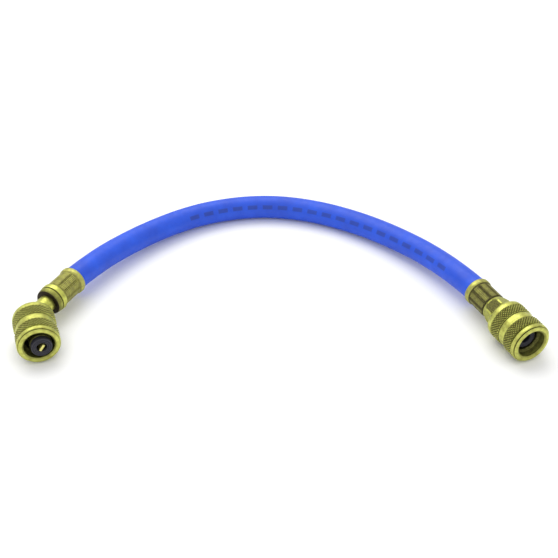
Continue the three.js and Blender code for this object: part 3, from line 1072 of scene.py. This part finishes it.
def hose_rubber():
    """Extruded synthetic rubber cover, bright blue and half gloss, faintly uneven where the braid
    shows through, with a plain dashed lay line that shows whether the hose is twisted."""
    material, tree, surface = blank_material("extruded_blue_rubber")
    round_and_along = node(tree, "ShaderNodeUVMap", uv_map="round_and_along").outputs[0]
    split = node(tree, "ShaderNodeSeparateXYZ", {0: round_and_along})
    local = node(tree, "ShaderNodeTexCoord").outputs["Object"]
    clouds = node(
        tree,
        "ShaderNodeTexNoise",
        {"Vector": local, "Scale": 90.0, "Detail": 4.0, "Roughness": 0.6},
    )
    cloud_share = node(
        tree,
        "ShaderNodeMapRange",
        {"Value": clouds.outputs["Fac"], "From Min": 0.3, "From Max": 0.7},
    )
    body = node(
        tree,
        "ShaderNodeMix",
        {"Factor": cloud_share.outputs[0], MIX_A: colour("0642C2"), MIX_B: colour("0A50DA")},
        data_type="RGBA",
    )
    # Dashes 5 mm long and 2 mm wide, every 8 mm, over the middle and the straight end
    turn_off = node(
        tree,
        "ShaderNodeMath",
        {0: split.outputs["X"], 1: LAY_LINE_TURN},
        operation="SUBTRACT",
    )
    off_line = node(tree, "ShaderNodeMath", {0: turn_off.outputs[0]}, operation="ABSOLUTE")
    on_line = node(
        tree,
        "ShaderNodeMapRange",
        {"Value": off_line.outputs[0], "From Min": 0.024, "From Max": 0.034,
         "To Min": 1.0, "To Max": 0.0},
    )
    dash_run = node(
        tree,
        "ShaderNodeMath",
        {0: split.outputs["Y"], 1: 1.0 / DASH_PITCH},
        operation="MULTIPLY",
    )
    dash_share = node(tree, "ShaderNodeMath", {0: dash_run.outputs[0]}, operation="FRACT")
    off_dash = node(
        tree,
        "ShaderNodeMath",
        {0: dash_share.outputs[0], 1: 0.5},
        operation="SUBTRACT",
    )
    off_dash_size = node(tree, "ShaderNodeMath", {0: off_dash.outputs[0]}, operation="ABSOLUTE")
    on_dash = node(
        tree,
        "ShaderNodeMapRange",
        {"Value": off_dash_size.outputs[0], "From Min": 0.3, "From Max": 0.34,
         "To Min": 1.0, "To Max": 0.0},
    )
    ink = node(
        tree,
        "ShaderNodeMath",
        {0: on_line.outputs[0], 1: on_dash.outputs[0]},
        operation="MULTIPLY",
    )
    past_middle = node(
        tree,
        "ShaderNodeMath",
        {0: split.outputs["Y"], 1: LINE_MIDDLE},
        operation="SUBTRACT",
    )
    from_middle = node(tree, "ShaderNodeMath", {0: past_middle.outputs[0]}, operation="ABSOLUTE")
    on_stretch = node(
        tree,
        "ShaderNodeMapRange",
        {"Value": from_middle.outputs[0], "From Min": LINE_HALF, "From Max": LINE_HALF + 0.0002,
         "To Min": 0.42, "To Max": 0.0},
    )
    printed = node(
        tree,
        "ShaderNodeMath",
        {0: ink.outputs[0], 1: on_stretch.outputs[0]},
        operation="MULTIPLY",
    )
    inked = node(
        tree,
        "ShaderNodeMix",
        {"Factor": printed.outputs[0], MIX_A: body.outputs[MIXED], MIX_B: colour("141A3C")},
        data_type="RGBA",
    )
    # The braid under the cover, drawn as a soft weave of 3 mm, and a fine extruded grain
    weave_run = node(
        tree,
        "ShaderNodeVectorMath",
        {0: round_and_along, 1: (12.0, 350.0, 0.0)},
        operation="MULTIPLY",
    )
    weave = node(
        tree,
        "ShaderNodeTexNoise",
        {"Vector": weave_run.outputs[0], "Scale": 1.0, "Detail": 2.0},
    )
    grain = node(tree, "ShaderNodeTexNoise", {"Vector": local, "Scale": 1500.0, "Detail": 2.0})
    height = node(
        tree,
        "ShaderNodeMath",
        {0: grain.outputs["Fac"], 1: 0.25, 2: weave.outputs["Fac"]},
        operation="MULTIPLY_ADD",
    )
    bump = node(
        tree,
        "ShaderNodeBump",
        {"Height": height.outputs[0], "Strength": 0.5, "Distance": 0.12 * MM},
    )
    rough = node(
        tree,
        "ShaderNodeMapRange",
        {"Value": weave.outputs["Fac"], "From Min": 0.3, "From Max": 0.7,
         "To Min": 0.42, "To Max": 0.56},
    )
    tree.links.new(inked.outputs[MIXED], surface.inputs["Base Color"])
    tree.links.new(rough.outputs[0], surface.inputs["Roughness"])
    tree.links.new(bump.outputs[0], surface.inputs["Normal"])
    surface.inputs["IOR"].default_value = 1.52
    return material


# Turned and knurled bar: bright on its teeth and smooth collars, with painted shade in the pits
# between
nut_material = brass("turned_knurled_brass", "CACE6C", "A6A452", 0.4, 2.2, 0.0)
# A drawn shell squeezed by hardened jaws: duller, with their criss-cross on it
ferrule_material = brass("drawn_crimped_brass", "C2C264", "9C985A", 0.42, 1.6, 0.1)
# Turned bar and tube: the smoothest of the four, so its highlights are the sharpest
stem_material = brass("turned_brass", "CCD066", "AAAA50", 0.36, 2.0, 0.0)
# Strip stamped from sheet: pale and matt
blade_material = brass("stamped_brass_strip", "E6E08C", "D2CC70", 0.45, 3.0, 0.0)
nitrile = gasket_rubber()
blue_rubber = hose_rubber()


# Bodies, nodes and slots

DRESSED = (
    (hose, "root", "hose", "hose_rubber", blue_rubber),
    (elbow_ferrule, "root", "ferrule_elbow_end", "ferrule_brass", ferrule_material),
    (straight_ferrule, "root", "ferrule_straight_end", "ferrule_brass", ferrule_material),
    (elbow_stem, "root", "elbow_stem", "stem_brass", stem_material),
    (straight_stem, "root", "straight_stem", "stem_brass", stem_material),
    (elbow_nut, "elbow_nut", "coupling_nut_elbow_end", "nut_brass", nut_material),
    (straight_nut, "straight_nut", "coupling_nut_straight_end", "nut_brass", nut_material),
    (elbow_gasket, "root", "gasket_elbow_end", "gasket_rubber", nitrile),
    (straight_gasket, "root", "gasket_straight_end", "gasket_rubber", nitrile),
    (depressor, "root", "core_depressor", "depressor_brass", blade_material),
)
for piece, body, cad_node, slot, material in DRESSED:
    piece.data.materials.clear()
    piece.data.materials.append(material)
    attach(piece, body)
    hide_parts(cad_node)


# Floor and light

bpy.ops.mesh.primitive_plane_add(size=6.0, location=(0.0, 0.0, 0.0))
floor = bpy.context.object
floor.name = "floor"
# Matt white paper, which gives a clean ground and a soft shadow
floor_material, _, floor_surface = blank_material("white_paper")
floor_surface.inputs["Base Color"].default_value = colour("F7F7F7")
floor_surface.inputs["Roughness"].default_value = 0.9
floor.data.materials.append(floor_material)

key_data = bpy.data.lights.new("overhead_softbox", "AREA")
key_data.shape = "RECTANGLE"
key_data.size = 1.4
key_data.size_y = 0.9
key_data.energy = 7.5
key = bpy.data.objects.new("overhead_softbox", key_data)
key.location = (-0.3, 0.6, 1.05)
key.rotation_euler = (Vector((0.0, 0.0, 0.0)) - key.location).to_track_quat("-Z", "Y").to_euler()
bpy.context.scene.collection.objects.link(key)

world = bpy.data.worlds.new("light_tent")
world.use_nodes = True
world_tree = world.node_tree
world_tree.nodes.clear()
direction = node(world_tree, "ShaderNodeTexCoord").outputs["Generated"]
height = node(world_tree, "ShaderNodeSeparateXYZ", {0: direction}).outputs["Z"]
ramp = node(
    world_tree,
    "ShaderNodeMapRange",
    {"Value": height, "From Min": 0.1, "From Max": 0.8, "To Min": 0.82, "To Max": 1.05},
)
tent = node(
    world_tree,
    "ShaderNodeBackground",
    {"Color": (1.0, 1.0, 1.0, 1.0), "Strength": ramp.outputs[0]},
)
node(world_tree, "ShaderNodeOutputWorld", {"Surface": tent.outputs[0]})
bpy.context.scene.world = world
bpy.context.scene.view_settings.view_transform = "Standard"
